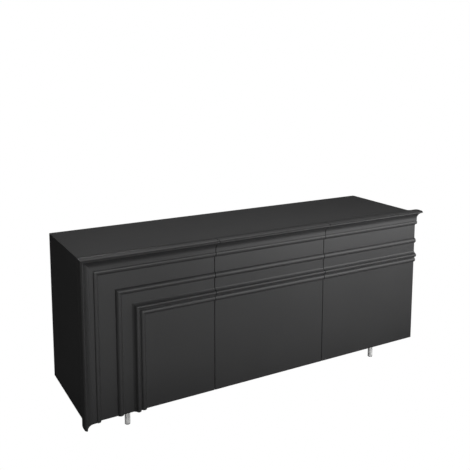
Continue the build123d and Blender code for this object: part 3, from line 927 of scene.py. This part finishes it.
# The camera's place is measured from the lower left corner of the fronts.
CAMERA_PLACE = (LEFT - 0.741, FACE - 2.5747, BASE + 1.5203)
CAMERA_DOWN, CAMERA_RIGHT = 7.865, 29.11  # degrees below level, and right of square to the fronts
CAMERA_LENS, SENSOR_WIDTH = 50.44, 36.0  # millimetres
CAMERA_SHIFT = (0.0138, -0.1723)
AMBIENT = 0.0  # the area lights do all of the lighting
FAR = 4.5  # distance of the lights that are placed by angle
MIDDLE = (0.0, 0.0, 0.45)  # about the cabinet's middle


def around(azimuth, height):
    """A place on a sphere about the cabinet: azimuth 0 is straight in front, 90 is its right."""
    a, e = math.radians(azimuth), math.radians(height)
    x, y, z = MIDDLE
    return (x + FAR * math.sin(a) * math.cos(e), y - FAR * math.cos(a) * math.cos(e), z + FAR * math.sin(e))


# Each light: name, place, target and size in metres, and power in watts.
LIGHTS = [
    ("front", around(0, 10), MIDDLE, (2.0, 2.0), 60),
    ("front_left", around(-30, 25), MIDDLE, (2.0, 2.0), 22),
    ("left", around(-90, 10), MIDDLE, (2.0, 2.0), 20),
    ("back_top", around(150, 50), MIDDLE, (5.0, 3.0), 36),
    ("back_strip", (0.3, 0.9, 2.6), (0.3, -0.3, 0.8), (2.4, 0.3), 8),
    ("near_middle", (0.6, -1.0, 0.9), (0.4, -0.2, 0.5), (1.0, 1.0), 6),
    ("near_right", (1.6, -1.0, 0.9), (1.1, -0.2, 0.5), (1.0, 1.0), 8),
    ("floor_glow", (0.0, -1.6, 0.02), (0.0, -1.6, 1.0), (5.0, 2.0), 8),
    ("behind", (0.3, 4.4, 0.4), (0.3, 0.0, 0.4), (2.0, 0.7), 60),
    ("right", (4.4, 0.7, 0.4), (0.0, 0.0, 0.4), (0.8, 0.7), 35),
]


def camera_only(shader_nodes, links, seen, lit, target):
    """White where the camera looks straight at it, dark for the light that would bounce off it."""
    path = shader_nodes.new("ShaderNodeLightPath")
    mix = shader_nodes.new("ShaderNodeMixShader")
    links.new(path.outputs["Is Camera Ray"], mix.inputs["Fac"])
    links.new(lit, mix.inputs[1])
    links.new(seen, mix.inputs[2])
    links.new(mix.outputs["Shader"], target)


def floor():
    bm = bmesh.new()
    bmesh.ops.create_grid(bm, x_segments=1, y_segments=1, size=FLOOR_SIZE)
    made = finish_mesh("floor", bm)
    material, nodes, links = new_material("floor_paint")
    shader = nodes["Principled BSDF"]
    shader.inputs["Base Color"].default_value = FLOOR_PAINT
    shader.inputs["Roughness"].default_value = 0.9
    white = nodes.new("ShaderNodeEmission")
    white.inputs["Strength"].default_value = 1.0
    surface = nodes["Material Output"].inputs["Surface"]
    camera_only(nodes, links, white.outputs["Emission"], shader.outputs["BSDF"], surface)
    paint(made, material)


def area_light(name, place, target, size, power):
    data = bpy.data.lights.new(name, "AREA")
    data.shape = "RECTANGLE"
    data.size, data.size_y = size
    data.energy = power
    made = bpy.data.objects.new(name, data)
    made.visible_camera = False
    made.location = place
    made.rotation_euler = (Vector(target) - Vector(place)).to_track_quat("-Z", "Y").to_euler()
    bpy.context.scene.collection.objects.link(made)


def studio():
    world = bpy.data.worlds.new("studio")
    world.use_nodes = True
    nodes, links = world.node_tree.nodes, world.node_tree.links
    ambient = nodes["Background"]
    ambient.inputs["Strength"].default_value = AMBIENT
    white = nodes.new("ShaderNodeBackground")
    white.inputs["Color"].default_value = (1, 1, 1, 1)
    ambient.inputs["Color"].default_value = (1, 1, 1, 1)
    surface = nodes["World Output"].inputs["Surface"]
    camera_only(nodes, links, white.outputs["Background"], ambient.outputs["Background"], surface)
    bpy.context.scene.world = world
    for name, place, target, size, power in LIGHTS:
        area_light(name, place, target, size, power)


def camera():
    """Seen from the front left, a little above the top; the shift keeps the framing."""
    data = bpy.data.cameras.new("camera")
    data.lens = CAMERA_LENS
    data.sensor_width = SENSOR_WIDTH
    data.shift_x, data.shift_y = CAMERA_SHIFT
    made = bpy.data.objects.new("camera", data)
    made.location = CAMERA_PLACE
    made.rotation_euler = (math.radians(90 - CAMERA_DOWN), 0, math.radians(-CAMERA_RIGHT))
    bpy.context.scene.collection.objects.link(made)
    bpy.context.scene.camera = made


floor()
studio()
camera()
bpy.context.scene.view_settings.view_transform = "Standard"
